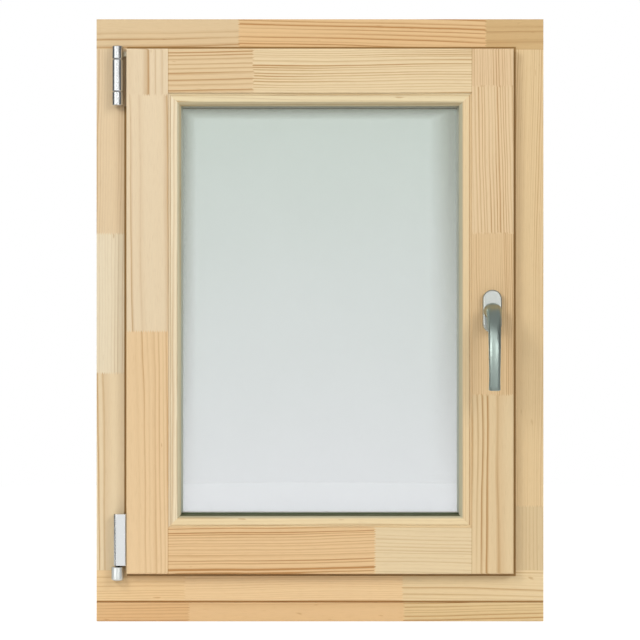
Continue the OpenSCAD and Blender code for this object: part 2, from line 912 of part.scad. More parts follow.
// Wedge between two mitres, for the bead on one side of a rectangle
module mitre_top(half_w, z) {
    translate([0, bead_y1 + over, z])
    rotate([90, 0, 0])
    linear_extrude(bead_y1 - bead_y0 + 2 * over)
    polygon([[-half_w, 0], [half_w, 0], [half_w - bead_w, -bead_w], [-half_w + bead_w, -bead_w]]);
}

module bead_top_form() {
    intersection() {
        hung(bead_section, -open_x, open_x, open_z1);
        mitre_top(open_x, open_z1);
    }
}
module bead_left_form() {
    intersection() {
        upright(bead_section, -open_x, open_z0, open_z1);
        translate([0, bead_y1 + over, 0])
            rotate([90, 0, 0])
            linear_extrude(bead_y1 - bead_y0 + 2 * over)
            polygon([
                [-open_x, open_z0], [-open_x, open_z1],
                [-open_x + bead_w, open_z1 - bead_w], [-open_x + bead_w, open_z0 + bead_w]
            ]);
    }
}
module top_bead() { color(pine) bead_top_form(); }
module bottom_bead() { color(pine) translate([0, 0, open_z0 + open_z1]) mirror([0, 0, 1]) bead_top_form(); }
module left_bead() { color(pine) bead_left_form(); }
module right_bead() { color(pine) mirror([1, 0, 0]) bead_left_form(); }

// Locking gear

side_z0 = body_z0 + side_lift;
side_z1 = body_z1 - corner_leg;
rod_z0 = side_z0 + rod_stop + rod_travel;
rod_z1 = side_z1 - rod_end_gap;
cam_zs = [rod_z0 + cam_inset, rod_z1 - cam_inset];
arm_reach = norm([arm_len, groove_y - axis_y]);
guide_x0 = arm_pin_x - guide_travel - guide_end;
guide_x1 = arm_pin_x + guide_end;
top_x1 = body_x - corner_leg;
top_rod_x0 = guide_x1 + rod_stop;
top_rod_x1 = top_x1 - rod_end_gap - rod_travel;
top_cam_x = top_rod_x1 - cam_inset;
plate_y0 = groove_y - faceplate_w / 2;
plate_y1 = groove_y + faceplate_w / 2;

// Grooves for rod and faceplate in the right edge and the top edge of the sash
module side_groove() {
    box([body_x - faceplate_t, plate_y0, side_z0], [body_x + over, plate_y1, body_z1 + over]);
    box(
        [rod_x0 - play, groove_y - groove_w / 2, side_z0],
        [body_x + over, groove_y + groove_w / 2, body_z1 + over]);
}
module top_groove() {
    box([guide_x1, plate_y0, body_z1 - faceplate_t], [body_x + over, plate_y1, body_z1 + over]);
    box(
        [guide_x1, groove_y - groove_w / 2, body_z1 - rod_inset - play],
        [body_x + over, groove_y + groove_w / 2, body_z1 + over]);
}

module gearbox_pocket() {
    box(
        [spindle_x - case_back - snug, groove_y - case_w / 2 - snug, handle_z - case_z - snug],
        [body_x + over, groove_y + case_w / 2 + snug, handle_z + case_z + snug]);
}

module gearbox_case() {
    color(zinc)
    difference() {
        box(
            [spindle_x - case_back, groove_y - case_w / 2, handle_z - case_z],
            [body_x - faceplate_t, groove_y + case_w / 2, handle_z + case_z]);
        bar_y([spindle_x, groove_y - pinion_w / 2 - play, handle_z], tip_r + play, pinion_w + 2 * play);
        bar_y([spindle_x, groove_y - case_w / 2 - over, handle_z], journal_r + run_fit, case_w + 2 * over);
        box(
            [rack_x - tooth_size - play, groove_y - groove_w / 2, handle_z - case_z - over],
            [body_x, groove_y + groove_w / 2, handle_z + case_z + over]);
        handle_screw_places(snug);
    }
}

// Involute pinion: half the angle of a tooth at a radius, and the outline of one tooth
base_r = pitch_r * cos(pressure_angle);
function roll(r) = let (a = acos(min(1, base_r / r))) tan(a) * 180 / PI - a;
function tooth_half(r) =
    90 / pinion_teeth - tooth_gap / pitch_r * 45 / PI + roll(pitch_r) - roll(max(r, base_r));
flank_steps = 4;
flank_rs = [root_r, for (k = [0:flank_steps]) base_r + (tip_r - base_r) * k / flank_steps];
function polar(r, a) = r * [cos(a), sin(a)];
pinion_outline = [
    for (t = [0:pinion_teeth - 1])
        let (mid = (t + 0.5) * 360 / pinion_teeth)
        each concat(
            [for (r = flank_rs) polar(r, mid - tooth_half(r))],
            [for (k = [len(flank_rs) - 1:-1:0]) polar(flank_rs[k], mid + tooth_half(flank_rs[k]))])
];

module spindle_bar(y0, y1, gap = 0) {
    half = spindle_side / 2 + gap;
    box([spindle_x - half, y0, handle_z - half], [spindle_x + half, y1, handle_z + half]);
}

module pinion() {
    color(steel)
    difference() {
        union() {
            translate([spindle_x, groove_y + pinion_w / 2, handle_z])
                rotate([90, 0, 0])
                linear_extrude(pinion_w)
                polygon(pinion_outline);
            bar_y([spindle_x, groove_y - case_w / 2, handle_z], journal_r, case_w);
        }
        spindle_bar(groove_y - case_w, groove_y + case_w, snug);
    }
}

// Drive rod: a flat bar whose rack is in mesh with the pinion
rack_pitch = PI * tooth_size;
rack_half = rack_pitch / 4 - tooth_gap / 4;
rack_slope = tan(pressure_angle);
module drive_rod() {
    color(steel) {
        box([rod_x0, groove_y - rod_w / 2, rod_z0], [rod_x1, groove_y + rod_w / 2, rod_z1]);
        for (n = [ceil(-rack_end / rack_pitch):floor((rod_travel + rack_end) / rack_pitch)])
            translate([rack_x, groove_y + pinion_w / 2, handle_z + n * rack_pitch])
            rotate([90, 0, 0])
            linear_extrude(pinion_w)
            polygon([
                [rod_x0 - rack_x, -rack_half - root_share * tooth_size * rack_slope],
                [rod_x0 - rack_x, rack_half + root_share * tooth_size * rack_slope],
                [-tooth_size, rack_half - tooth_size * rack_slope],
                [-tooth_size, -rack_half + tooth_size * rack_slope]
            ]);
    }
}

module top_rod() {
    color(steel)
    box(
        [top_rod_x0, groove_y - rod_w / 2, body_z1 - rod_inset],
        [top_rod_x1, groove_y + rod_w / 2, body_z1 - rod_inset + rod_t]);
}

// Roller cam along +Z, standing on a rod whose face is at zero
cam_stud_h = faceplate_t + play / 2 + play;
module cam() {
    cylinder(h = cam_stud_h + over, r = cam_stud_r);
    translate([0, 0, cam_stud_h]) cylinder(h = cam_stand - play, r = cam_r);
}
module locking_cams() {
    color(steel)
    for (z = cam_zs) translate([rod_x1, groove_y, z]) rotate([0, 90, 0]) cam();
}
module top_cam() {
    color(steel) translate([top_cam_x, groove_y, body_z1 - rod_inset + rod_t]) cam();
}

// Faceplates with slots in which the cams run
cam_slot_r = cam_stud_r + play;
module lock_faceplate() {
    color(chrome)
    difference() {
        box([body_x - faceplate_t, plate_y0, side_z0], [body_x, plate_y1, side_z1]);
        for (z = cam_zs) {
            box(
                [body_x - faceplate_t - over, groove_y - cam_slot_r, z - rod_travel],
                [body_x + over, groove_y + cam_slot_r, z]);
            for (end = [z - rod_travel, z])
                bar_x([body_x - faceplate_t - over, groove_y, end], cam_slot_r, faceplate_t + 2 * over);
        }
        faceplate_screw_places(snug);
    }
}

module top_faceplate() {
    color(chrome)
    difference() {
        box([guide_x1, plate_y0, body_z1 - faceplate_t], [top_x1, plate_y1, body_z1]);
        box(
            [top_cam_x, groove_y - cam_slot_r, body_z1 - faceplate_t - over],
            [top_cam_x + rod_travel, groove_y + cam_slot_r, body_z1 + over]);
        for (end = [top_cam_x, top_cam_x + rod_travel])
            bar_z([end, groove_y, body_z1 - faceplate_t - over], cam_slot_r, faceplate_t + 2 * over);
        faceplate_screw_places(snug);
    }
}

// Corner drive: an angle that leads the drive from the side into the top
module corner_drive() {
    guide_half = groove_w / 2 - snug;
    color(chrome)
    difference() {
        union() {
            box([top_x1, plate_y0, body_z1 - faceplate_t], [body_x, plate_y1, body_z1]);
            box([body_x - faceplate_t, plate_y0, side_z1], [body_x, plate_y1, body_z1]);
            box([top_x1, groove_y - guide_half, body_z1 - rod_inset], [body_x, groove_y + guide_half, body_z1]);
            box([body_x - rod_inset, groove_y - guide_half, side_z1], [body_x, groove_y + guide_half, body_z1]);
        }
        faceplate_screw_places(snug);
    }
}

module faceplate_screw_places(gap = 0) {
    for (z = [side_z0 + screw_end, body_z1 - corner_leg / 2])
        screw_left([body_x, groove_y, z], face_screw_len, gap);
    for (x = [guide_x1 + screw_end, top_x1 + screw_end])
        screw_down([x, groove_y, body_z1], face_screw_len, gap);
}
module faceplate_screws() { color(steel) faceplate_screw_places(); }

// Guide for the stay arm's pin, let into the top rail
guide_body_w = guide_slot_w + faceplate_t + faceplate_t;
guide_floor = 1.5;
module guide_form(gap = 0) {
    box([guide_x0 - gap, plate_y0 - gap, body_z1 - faceplate_t], [guide_x1, plate_y1 + gap, body_z1 + gap]);
    box(
        [guide_x0 + screw_end + screw_end - gap, groove_y - guide_body_w / 2 - gap, body_z1 - guide_h - gap],
        [guide_x1 - screw_end - screw_end + gap, groove_y + guide_body_w / 2 + gap, body_z1 + gap]);
}
module guide_pocket() { guide_form(snug); }
module stay_guide() {
    color(steel)
    difference() {
        guide_form();
        box(
            [arm_pin_x - guide_travel - arm_pin_r, groove_y - guide_slot_w / 2, body_z1 - guide_h + guide_floor],
            [axis_x + arm_reach + arm_pin_r + play, groove_y + guide_slot_w / 2, body_z1 + over]);
        stay_guide_screw_places(snug);
    }
}
module stay_guide_screw_places(gap = 0) {
    for (x = [guide_x0 + screw_end, guide_x1 - screw_end])
        screw_down([x, groove_y, body_z1], screw_len, gap);
}
module stay_guide_screws() { color(steel) stay_guide_screw_places(); }

// Keeps on the frame: plates with a slot for the cam, drawn flat along X with their back at zero
keep_slot_share = 0.5;
keep_chamfer = 1.6;
keep_screw_in = 8;
module keep_plate() {
    difference() {
        translate([0, keep_w / 2, 0])
            rotate([90, 0, 0])
            linear_extrude(keep_w)
            polygon([
                [-keep_l / 2, 0], [keep_l / 2, 0],
                [keep_l / 2 - keep_chamfer, keep_t], [-keep_l / 2 + keep_chamfer, keep_t]
            ]);
        box(
            [-keep_l * keep_slot_share / 2, -cam_r - play, -over],
            [keep_l * keep_slot_share / 2, cam_r + play, keep_t + over]);
        for (s = [-1, 1])
            translate([s * (keep_l / 2 - keep_screw_in), 0, keep_t]) rotate([180, 0, 0]) screw(keep_t + over, snug);
    }
}

jamb_x = frame_w / 2 - frame_face;
head_z = frame_top - frame_face;
module side_keep(z) {
    color(steel) translate([jamb_x, groove_y, z]) rotate([0, -90, 0]) keep_plate();
}
module lower_keep() { side_keep(cam_zs[0]); }
module upper_keep() { side_keep(cam_zs[1]); }
module head_keep() {
    color(steel) translate([top_cam_x, groove_y, head_z]) rotate([180, 0, 0]) keep_plate();
}

module keep_screw_places(where, gap = 0) {
    if (where == "side")
        for (z = cam_zs, s = [-1, 1])
            screw_right([jamb_x - keep_t, groove_y, z + s * (keep_l / 2 - keep_screw_in)], screw_len, gap);
    if (where == "head")
        for (s = [-1, 1])
            screw_up([top_cam_x + s * (keep_l / 2 - keep_screw_in), groove_y, head_z - keep_t], screw_len, gap);
}
module keep_screws() {
    color(steel) {
        keep_screw_places("side");
        keep_screw_places("head");
    }
}

// Handle

// Flat outline with round ends
module stadium(w, h) {
    square([w, h - w], center = true);
    for (s = [-1, 1]) translate([0, s * (h - w) / 2]) circle(d = w);
}

// Something drawn flat in X and Z that stands out from the sash towards the room
module on_sash(y) { translate([spindle_x, y, handle_z]) rotate([90, 0, 0]) children(); }

handle_screw_y = sash_y0 - base_t + base_wall;
module handle_screw_places(gap = 0) {
    for (s = [-1, 1]) {
        z = handle_z + s * handle_screw_pitch / 2;
        bar_y([spindle_x, handle_screw_y - gap, z], handle_screw_r + gap,
            groove_y + case_w / 2 - handle_screw_y + gap);
        bar_y([spindle_x, handle_screw_y - gap, z], handle_head_r + gap, handle_head_t + gap);
    }
}
module handle_screws() { color(steel) handle_screw_places(); }

// Base plate under the rosette: bearing for the lever's neck, screwed to the stile
module handle_base() {
    color(plastic)
    difference() {
        on_sash(sash_y0)
            linear_extrude(base_t)
            stadium(rosette_w - 2 * base_wall - 2 * snug, rosette_h - 2 * base_wall - 2 * snug);
        bar_y([spindle_x, sash_y0 - base_t - over, handle_z], neck_r + run_fit, base_t + 2 * over);
        for (s = [-1, 1])
            bar_y([spindle_x, sash_y0 - base_t - over, handle_z + s * handle_screw_pitch / 2],
                handle_head_r + snug, base_wall + over);
        handle_screw_places(snug);
    }
}

// Pressed cover of the base, with a rounded rim
module handle_rosette() {
    color(satin)
    difference() {
        on_sash(sash_y0)
            hull()
            for (s = [-1, 1])
                translate([0, s * (rosette_h - rosette_w) / 2, 0])
                rotate_extrude($fn = 40)
                polygon(rounded([
                    [0, 0, 0],
                    [rosette_w / 2, 0, 0],
                    [rosette_w / 2, rosette_t, rosette_round],
                    [0, rosette_t, 0]
                ]));
        on_sash(sash_y0 + over)
            linear_extrude(rosette_t - base_wall + over)
            stadium(rosette_w - 2 * base_wall, rosette_h - 2 * base_wall);
        bar_y([spindle_x, handle_y - over, handle_z], neck_r + play, rosette_t);
    }
}

// Lever: a swept grip. Rows hold the shares of length and reach of each ring's centre,
// and its width and thickness as shares of the lever's width
lever_shares = [
    [0.00, 0.02, 1.42, 1.30],
    [0.00, 0.20, 1.38, 1.28],
    [0.015, 0.40, 1.28, 1.20],
    [0.055, 0.58, 1.15, 1.02],
    [0.13, 0.72, 1.05, 0.85],
    [0.24, 0.81, 0.99, 0.74],
    [0.37, 0.86, 0.96, 0.67],
    [0.50, 0.875, 0.94, 0.63],
    [0.63, 0.87, 0.91, 0.60],
    [0.76, 0.855, 0.87, 0.57],
    [0.88, 0.835, 0.85, 0.55],
    [0.985, 0.81, 0.89, 0.54],
    [1.00, 0.805, 0.83, 0.49]
];
lever_sides = 24;
lever_square_share = 0.8;
function lever_place(i) =
    [handle_y - lever_shares[i][1] * lever_reach, handle_z - lever_shares[i][0] * lever_len];
function lever_tangent(i) =
    unit(lever_place(min(i + 1, len(lever_shares) - 1)) - lever_place(max(i - 1, 0)));
function squircle(v) = sign(v) * pow(abs(v), lever_square_share);
lever_points = [
    for (i = [0:len(lever_shares) - 1], j = [0:lever_sides - 1])
        let (
            c = lever_place(i),
            t = lever_tangent(i),
            a = j * 360 / lever_sides,
            across = squircle(cos(a)) * lever_shares[i][2] * lever_w / 2,
            up = squircle(sin(a)) * lever_shares[i][3] * lever_w / 2
        )
        [spindle_x + across, c[0] + up * t[1], c[1] - up * t[0]]
];
lever_faces = concat(
    [[for (j = [0:lever_sides - 1]) j]],
    [for (i = [0:len(lever_shares) - 2], j = [0:lever_sides - 1])
        let (a = i * lever_sides, k = (j + 1) % lever_sides)
        each [[a + j, a + lever_sides + j, a + lever_sides + k], [a + j, a + lever_sides + k, a + k]]],
    [[for (j = [lever_sides - 1:-1:0]) (len(lever_shares) - 1) * lever_sides + j]]);

neck_end_share = 0.2;
socket_end_share = 0.3;
module handle_lever() {
    neck_y = handle_y - neck_end_share * lever_reach;
    color(satin)
    difference() {
        union() {
            polyhedron(lever_points, lever_faces);
            bar_y([spindle_x, neck_y, handle_z], neck_r, sash_y0 - snug - neck_y);
        }
        spindle_bar(handle_y - socket_end_share * lever_reach, sash_y0 + over, snug);
    }
}

module spindle() {
    color(steel) spindle_bar(handle_y - socket_end_share * lever_reach + snug, groove_y + case_w / 2);
}

frame_head();
frame_left_jamb();
frame_right_jamb();
frame_sill();
sill_strip();
rain_rail();
rain_rail_end_caps();
lap_seal();
stay_bearing();
stay_pin();
corner_bearing();
corner_bearing_cap();
upper_keep();
lower_keep();
head_keep();
keep_screws();
corner_pivot();
stay_arm();
stay_arm_pin();
sash_left_stile();
sash_right_stile();
sash_top_rail();
sash_bottom_rail();
left_bead();
right_bead();
top_bead();
bottom_bead();
inner_pane();
outer_pane();
spacer_bar();
edge_seal();
setting_blocks();
inner_glazing_tape();
outer_glazing_tape();
sash_seal();
corner_hinge();
corner_hinge_cap();
corner_hinge_screws();
gearbox_case();
lock_faceplate();
corner_drive();
top_faceplate();
faceplate_screws();
stay_guide();
stay_guide_screws();
handle_base();
handle_rosette();
handle_screws();
handle_lever();
spindle();
pinion();
drive_rod();
locking_cams();
top_rod();
top_cam();
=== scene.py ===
# Tilt and turn window of laminated pine, closed, standing on its packing strip.
import math

import bmesh
import bpy
from mathutils import Matrix, Vector


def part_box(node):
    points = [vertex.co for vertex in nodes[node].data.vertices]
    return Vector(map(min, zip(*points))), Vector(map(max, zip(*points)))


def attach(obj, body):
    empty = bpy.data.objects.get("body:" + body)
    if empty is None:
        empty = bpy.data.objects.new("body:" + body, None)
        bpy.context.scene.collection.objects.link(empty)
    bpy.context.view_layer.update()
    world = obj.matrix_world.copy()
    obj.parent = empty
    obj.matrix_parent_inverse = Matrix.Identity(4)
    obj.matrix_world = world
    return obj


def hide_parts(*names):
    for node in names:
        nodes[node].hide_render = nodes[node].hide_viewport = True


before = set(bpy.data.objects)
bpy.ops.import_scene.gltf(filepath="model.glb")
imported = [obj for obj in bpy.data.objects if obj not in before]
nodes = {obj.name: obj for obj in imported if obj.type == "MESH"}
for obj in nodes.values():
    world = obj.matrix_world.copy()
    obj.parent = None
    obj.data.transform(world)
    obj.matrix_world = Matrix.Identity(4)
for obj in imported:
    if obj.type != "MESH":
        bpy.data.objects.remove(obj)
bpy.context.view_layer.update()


# Fixed frame: head, two jambs and sill of planed pine, joined with glued twin tenons.
# Each bar is glued up from three layers, and each layer is finger-jointed from short clear
# lengths of several trees, so tone and grain change at every joint.
class Shade:
    """One output of a material's nodes. Sums on it add Math nodes."""

    def __init__(self, tree, socket=None):
        self.tree = tree
        self.socket = socket

    def node(self, kind, settings=None, inputs=None, output=0):
        made = self.tree.nodes.new(kind)
        for key, value in (settings or {}).items():
            if key == "stops":
                stops = made.color_ramp.elements
                stops.remove(stops[1])
                stops[0].position, stops[0].color = value[0]
                for place, tone in value[1:]:
                    stops.new(place).color = tone
            elif key == "between_stops":
                made.color_ramp.interpolation = value
            else:
                setattr(made, key, value)
        for key, value in (inputs or {}).items():
            if isinstance(value, Shade):
                self.tree.links.new(value.socket, made.inputs[key])
            else:
                made.inputs[key].default_value = value
        return Shade(self.tree, made.outputs[output])

    def output(self, name):
        return Shade(self.tree, self.socket.node.outputs[name])

    def math(self, operation, first, second=0.0):
        return self.node("ShaderNodeMath", {"operation": operation}, {0: first, 1: second})

    def mix(self, factor, first, second, blend="MIX"):
        settings = {"data_type": "RGBA", "blend_type": blend}
        return self.node("ShaderNodeMix", settings, {0: factor, 6: first, 7: second}, 2)

    def __add__(self, other):
        return self.math("ADD", self, other)

    def __sub__(self, other):
        return self.math("SUBTRACT", self, other)

    def __rsub__(self, other):
        return self.math("SUBTRACT", other, self)

    def __mul__(self, other):
        return self.math("MULTIPLY", self, other)

    def __truediv__(self, other):
        return self.math("DIVIDE", self, other)

    def __rtruediv__(self, other):
        return self.math("DIVIDE", other, self)

    def __gt__(self, other):
        return self.math("GREATER_THAN", self, other)

    __radd__ = __add__
    __rmul__ = __mul__


def tone(red, green, blue):
    """A colour as it looks, each part 0 to 255, as the shader takes it."""
    parts = [c / 255 for c in (red, green, blue)]
    return tuple(c / 12.92 if c <= 0.04045 else ((c + 0.055) / 1.055) ** 2.4 for c in parts) + (1.0,)


def grey(level):
    return level, level, level, 1.0


def surface(name, fixed, varied):
    """A material: fixed values on the shader's own sockets, and what varied(shade) returns linked in."""
    made = bpy.data.materials.new(name)
    made.use_nodes = True
    tree = made.node_tree
    shader = tree.nodes["Principled BSDF"]
    for key, value in fixed.items():
        shader.inputs[key].default_value = value
    for key, value in varied(Shade(tree)).items():
        tree.links.new(value.socket, shader.inputs[key])
    return made


def dress(material, *names):
    """Puts a material on CAD nodes."""
    for name in names:
        for slot in nodes[name].material_slots:
            slot.material = material


def pine(name, run, middle, joints, boards, seed, face, seams=()):
    """Finger-jointed pine: joints are the places along the run where the next board starts. A board is
    its tone and the strength of its grain, a seam the way, place, half width and tint of a line or band."""

    def grown(shade):
        spot = shade.node("ShaderNodeSeparateXYZ", inputs={
            0: shade.node("ShaderNodeTexCoord", output="Object")})
        depth = spot.output("Y")
        along, across = (spot, spot.output("Z")) if run == "x" else (spot.output("Z"), spot)

        # Layers, fingers and boards
        layer_t, layer_shift, finger_half, finger_slope = 0.02267, 0.137, 0.0017, 2.2
        layer = shade.math("FLOOR", (depth - face) / layer_t)
        comb = shade.math("PINGPONG", across + 1.0, finger_half) * finger_slope
        reach = along + comb + layer * layer_shift
        board = layer * 17.0 + seed
        wood, lines = tone(*boards[0][:3]), boards[0][3]
        for joint, following in zip(joints, boards[1:]):
            past = reach > joint
            board = board + past
            wood = shade.mix(past, wood, tone(*following[:3]))
            lines = shade.node("ShaderNodeMix", inputs={0: past, 2: lines, 3: following[3]})

        def luck(number):
            dice = shade.node(
                "ShaderNodeTexWhiteNoise", {"noise_dimensions": "1D"}, {"W": board + number}, "Color")
            first = shade.node("ShaderNodeSeparateXYZ", inputs={0: dice})
            return first, first.output("Y"), first.output("Z")

        def noise(long_scale, cross_scale, detail=2.0):
            where = shade.node("ShaderNodeCombineXYZ", inputs={
                0: along * long_scale + board * 7.3, 1: across * cross_scale, 2: depth * cross_scale})
            return shade.node(
                "ShaderNodeTexNoise", inputs={"Vector": where, "Scale": 1.0, "Detail": detail})

        # Growth rings round a pith that lies outside the board and drifts along it
        ring_least, ring_spread, pith_spread, pith_lean, pith_depth = 0.0028, 0.0024, 0.24, 0.055, 0.09
        lean, side, back = luck(0.0)
        pitch, strength, offset = luck(0.5)
        drift = noise(2.4, 9.0) - 0.5
        sway = noise(16.0, 70.0) - 0.5
        u = (across - middle - (side - 0.5) * pith_spread - along * (lean - 0.5) * pith_lean
             + drift * 0.016 + sway * 0.0013)
        v = depth - face + 0.02 + back * pith_depth
        radius = shade.math("SQRT", u * u + v * v)
        seasons = shade.node("ShaderNodeTexNoise", {"noise_dimensions": "1D"}, {
            "W": radius * 110.0 + board * 3.1, "Scale": 1.0, "Detail": 1.0})
        rings = (radius + seasons * 0.006) / (pitch * ring_spread + ring_least) + offset
        number = shade.math("FLOOR", rings)
        year = shade.node(
            "ShaderNodeTexWhiteNoise", {"noise_dimensions": "1D"}, {"W": number + board * 57.0}, "Value")
        late = shade.node("ShaderNodeValToRGB", {"between_stops": "EASE", "stops": [
            (0.0, grey(0.35)), (0.10, grey(0.05)), (0.50, grey(0.03)),
            (0.78, grey(0.40)), (0.92, grey(1.0)), (1.0, grey(0.35))]},
            {0: shade.math("FRACT", rings)})
        patch = shade.node("ShaderNodeMapRange", {"interpolation_type": "SMOOTHSTEP"}, {
            0: noise(1.2, 30.0), 1: 0.40, 2: 0.58, 3: 0.30, 4: 1.0})
        grain = shade.math(
            "MINIMUM", late * (year * 0.8 + 0.3) * patch * (strength * 0.4 + 0.7) * lines, 1.0)

        # Fibres and resin ducts
        fibre = noise(34.0, 1500.0)
        duct = shade.node("ShaderNodeMapRange", inputs={
            0: noise(70.0, 2300.0, 0.0), 1: 0.66, 2: 0.76, 3: 0.0, 4: 1.0})
        speck = shade.node("ShaderNodeMapRange", inputs={
            0: noise(55.0, 190.0, 0.0), 1: 0.85, 2: 0.92, 3: 0.0, 4: 1.0})
        late_tint, resin_tint = (0.62, 0.45, 0.28, 1.0), (0.60, 0.42, 0.25, 1.0)
        wood = shade.mix(grain, wood, late_tint, "MULTIPLY")
        wood = shade.mix(duct * 0.16 + speck * 0.5, wood, resin_tint, "MULTIPLY")
        wood = shade.node("ShaderNodeVectorMath", {"operation": "SCALE"}, {
            0: wood, 3: fibre * 0.14 + 0.95})
        for way, place, half, tint in seams:
            off = shade.math("ABSOLUTE", (along if way == "along" else across) - place)
            near = shade.node("ShaderNodeMapRange", inputs={0: off, 1: half * 0.6, 2: half, 3: 1.0, 4: 0.0})
            wood = shade.mix(near, wood, tint + (1.0,), "MULTIPLY")
        bump = shade.node("ShaderNodeBump", inputs={
            "Strength": 0.22, "Distance": 0.0004, "Height": fibre * 0.6 + grain * 0.5 - duct * 0.5})
        return {"Base Color": wood, "Roughness": 0.60 + fibre * 0.12 - grain * 0.10, "Normal": bump}

    return surface(name, {"Specular IOR Level": 0.4}, grown)


frame_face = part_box("frame_head")[0].y
# Sill and strip are both darkened in a narrow band where they meet: painted shade in the joint.
strip_joint, painted_joint_shade = 0.0288, (0.50, 0.36, 0.22)
for bar, run, middle, joints, boards, seed, seams in (
        ("head", "x", 0.853, [-0.116, 0.243],
         [(219, 193, 152, 1.6), (224, 189, 140, 1.6), (206, 173, 123, 0.8)], 3.0, []),
        ("left_jamb", "z", -0.302, [0.363, 0.566],
         [(229, 208, 171, 1.0), (229, 214, 184, 1.0), (224, 200, 163, 1.0)], 41.0, []),
        ("right_jamb", "z", 0.302, [0.1695],
         [(214, 190, 148, 1.0), (223, 196, 151, 1.0)], 83.0, []),
        ("sill", "x", 0.052, [-0.195, 0.122],
         [(229, 197, 149, 0.8), (230, 199, 153, 0.8), (225, 201, 158, 0.8)], 127.0,
         [("across", strip_joint, 0.0020, painted_joint_shade)])):
    dress(pine("pine_" + bar, run, middle, joints, boards, seed, frame_face, seams), "frame_" + bar)


# Packing strip under the sill, ripped from the same pine and tongued into the sill's underside.
# It carries the window on the masonry.
dress(pine("pine_strip", "x", 0.014, [-0.189, 0.124],
           [(219, 180, 130, 1.6), (222, 187, 139, 1.6), (219, 192, 144, 1.4)], 163.0, frame_face,
           [("across", strip_joint, 0.0016, painted_joint_shade)]), "sill_strip")


# Rain rail outside on the sill: an extruded aluminium section, anodised, with a drip nose.
# Its open ends are closed by pushed-on caps of moulded plastic.
def metal(name, look, run, streak, rough, wear, bump_height=0.00005, dull_from=None):
    """Metal worked along one axis: look is its tone, streak and wear are how much tone and roughness vary.
    Right of dull_from it is unpolished."""

    def worked(shade):
        spot = shade.node("ShaderNodeTexCoord", output="Object")
        long_scale, cross_scale = 35.0, 1600.0
        stretch = tuple(long_scale if axis == run else cross_scale for axis in "xyz")
        lines = shade.node("ShaderNodeTexNoise", inputs={
            "Vector": shade.node("ShaderNodeVectorMath", {"operation": "MULTIPLY"}, {0: spot, 1: stretch}),
            "Scale": 1.0, "Detail": 3.0})
        cloud = shade.node("ShaderNodeTexNoise", inputs={"Vector": spot, "Scale": 70.0, "Detail": 4.0})
        base = shade.mix(
            lines * 0.5 + cloud * 0.5, tuple(c * (1 - streak) for c in tone(*look)[:3]) + (1.0,),
            tuple(min(1.0, c * (1 + streak)) for c in tone(*look)[:3]) + (1.0,))
        bump = shade.node("ShaderNodeBump", inputs={
            "Strength": 0.3, "Distance": bump_height, "Height": lines})
        rubbed = rough - wear / 2 + (lines * 0.5 + cloud * 0.5) * wear
        if dull_from is not None:
            dull = shade.node("ShaderNodeSeparateXYZ", inputs={0: spot}) > dull_from
            rubbed = rubbed + dull * 0.3
            base = shade.mix(dull, base, tone(190, 182, 160))
        return {"Base Color": base, "Roughness": rubbed, "Normal": bump}

    return surface(name, {"Metallic": 1.0}, worked)


def moulded(name, look, rough, grain, foot=None):
    """Plastic or rubber: an even colour with a fine moulded skin.
    A foot is a height and the tone below it."""

    def skin(shade):
        spot = shade.node("ShaderNodeTexCoord", output="Object")
        fine = shade.node("ShaderNodeTexNoise", inputs={"Vector": spot, "Scale": grain, "Detail": 3.0})
        broad = shade.node("ShaderNodeTexNoise", inputs={"Vector": spot, "Scale": 18.0, "Detail": 2.0})
        base = tone(*look)
        if foot:
            height = shade.node("ShaderNodeSeparateXYZ", inputs={0: spot}).output("Z")
            base = shade.mix(height > foot[0], tone(*foot[1]), base)
        else:
            base = base[:3]
        base = shade.node("ShaderNodeVectorMath", {"operation": "SCALE"}, {
            0: base, 3: 0.9 + fine * 0.1 + broad * 0.1})
        bump = shade.node("ShaderNodeBump", inputs={
            "Strength": 0.25, "Distance": 0.0001, "Height": fine})
        return {"Base Color": base, "Roughness": rough - 0.06 + fine * 0.12, "Normal": bump}

    return surface(name, {}, skin)


dress(metal("anodised_rail", (190, 192, 190), "x", 0.05, 0.38, 0.10), "rain_rail")
dress(moulded("grey_cap_plastic", (150, 147, 140), 0.5, 1500.0), "rain_rail_end_caps")


# Upper hinge: a turned bearing barrel on the jamb, the pin pushed up through it from below, and
# the eye of the stay arm on top. All of it is steel with a polished nickel plating.
eye_right = -0.2865
polish = (226, 228, 228), "z", 0.02, 0.12, 0.04, 0.000002
plating = metal("polished_plating", *polish)
zinc_plating = metal("zinc_plating", (176, 181, 186), "x", 0.08, 0.34, 0.12)
dress(plating, "stay_bearing", "stay_pin")
dress(metal("stay_arm_plating", *polish, eye_right), "stay_arm")
dress(zinc_plating, "stay_arm_pin")


# Lower hinge: a bearing on the frame that carries the weight, the pivot in it with its cross
# axle, and the corner hinge on the sash. Drawn caps cover them, polished on the sash and satin
# on the frame.
dress(plating, "corner_hinge_cap")
dress(metal("satin_plating", (206, 209, 206), "z", 0.02, 0.36, 0.06, 0.000002), "corner_bearing_cap")
dress(zinc_plating, "corner_hinge", "corner_hinge_screws")
# Bearing and pivot are near black, which paints the shade in the gaps round the hinge caps.
dress(metal("near_black_steel_painted_gap_shade", (58, 57, 55), "z", 0.1, 0.42, 0.1), "corner_bearing", "corner_pivot")


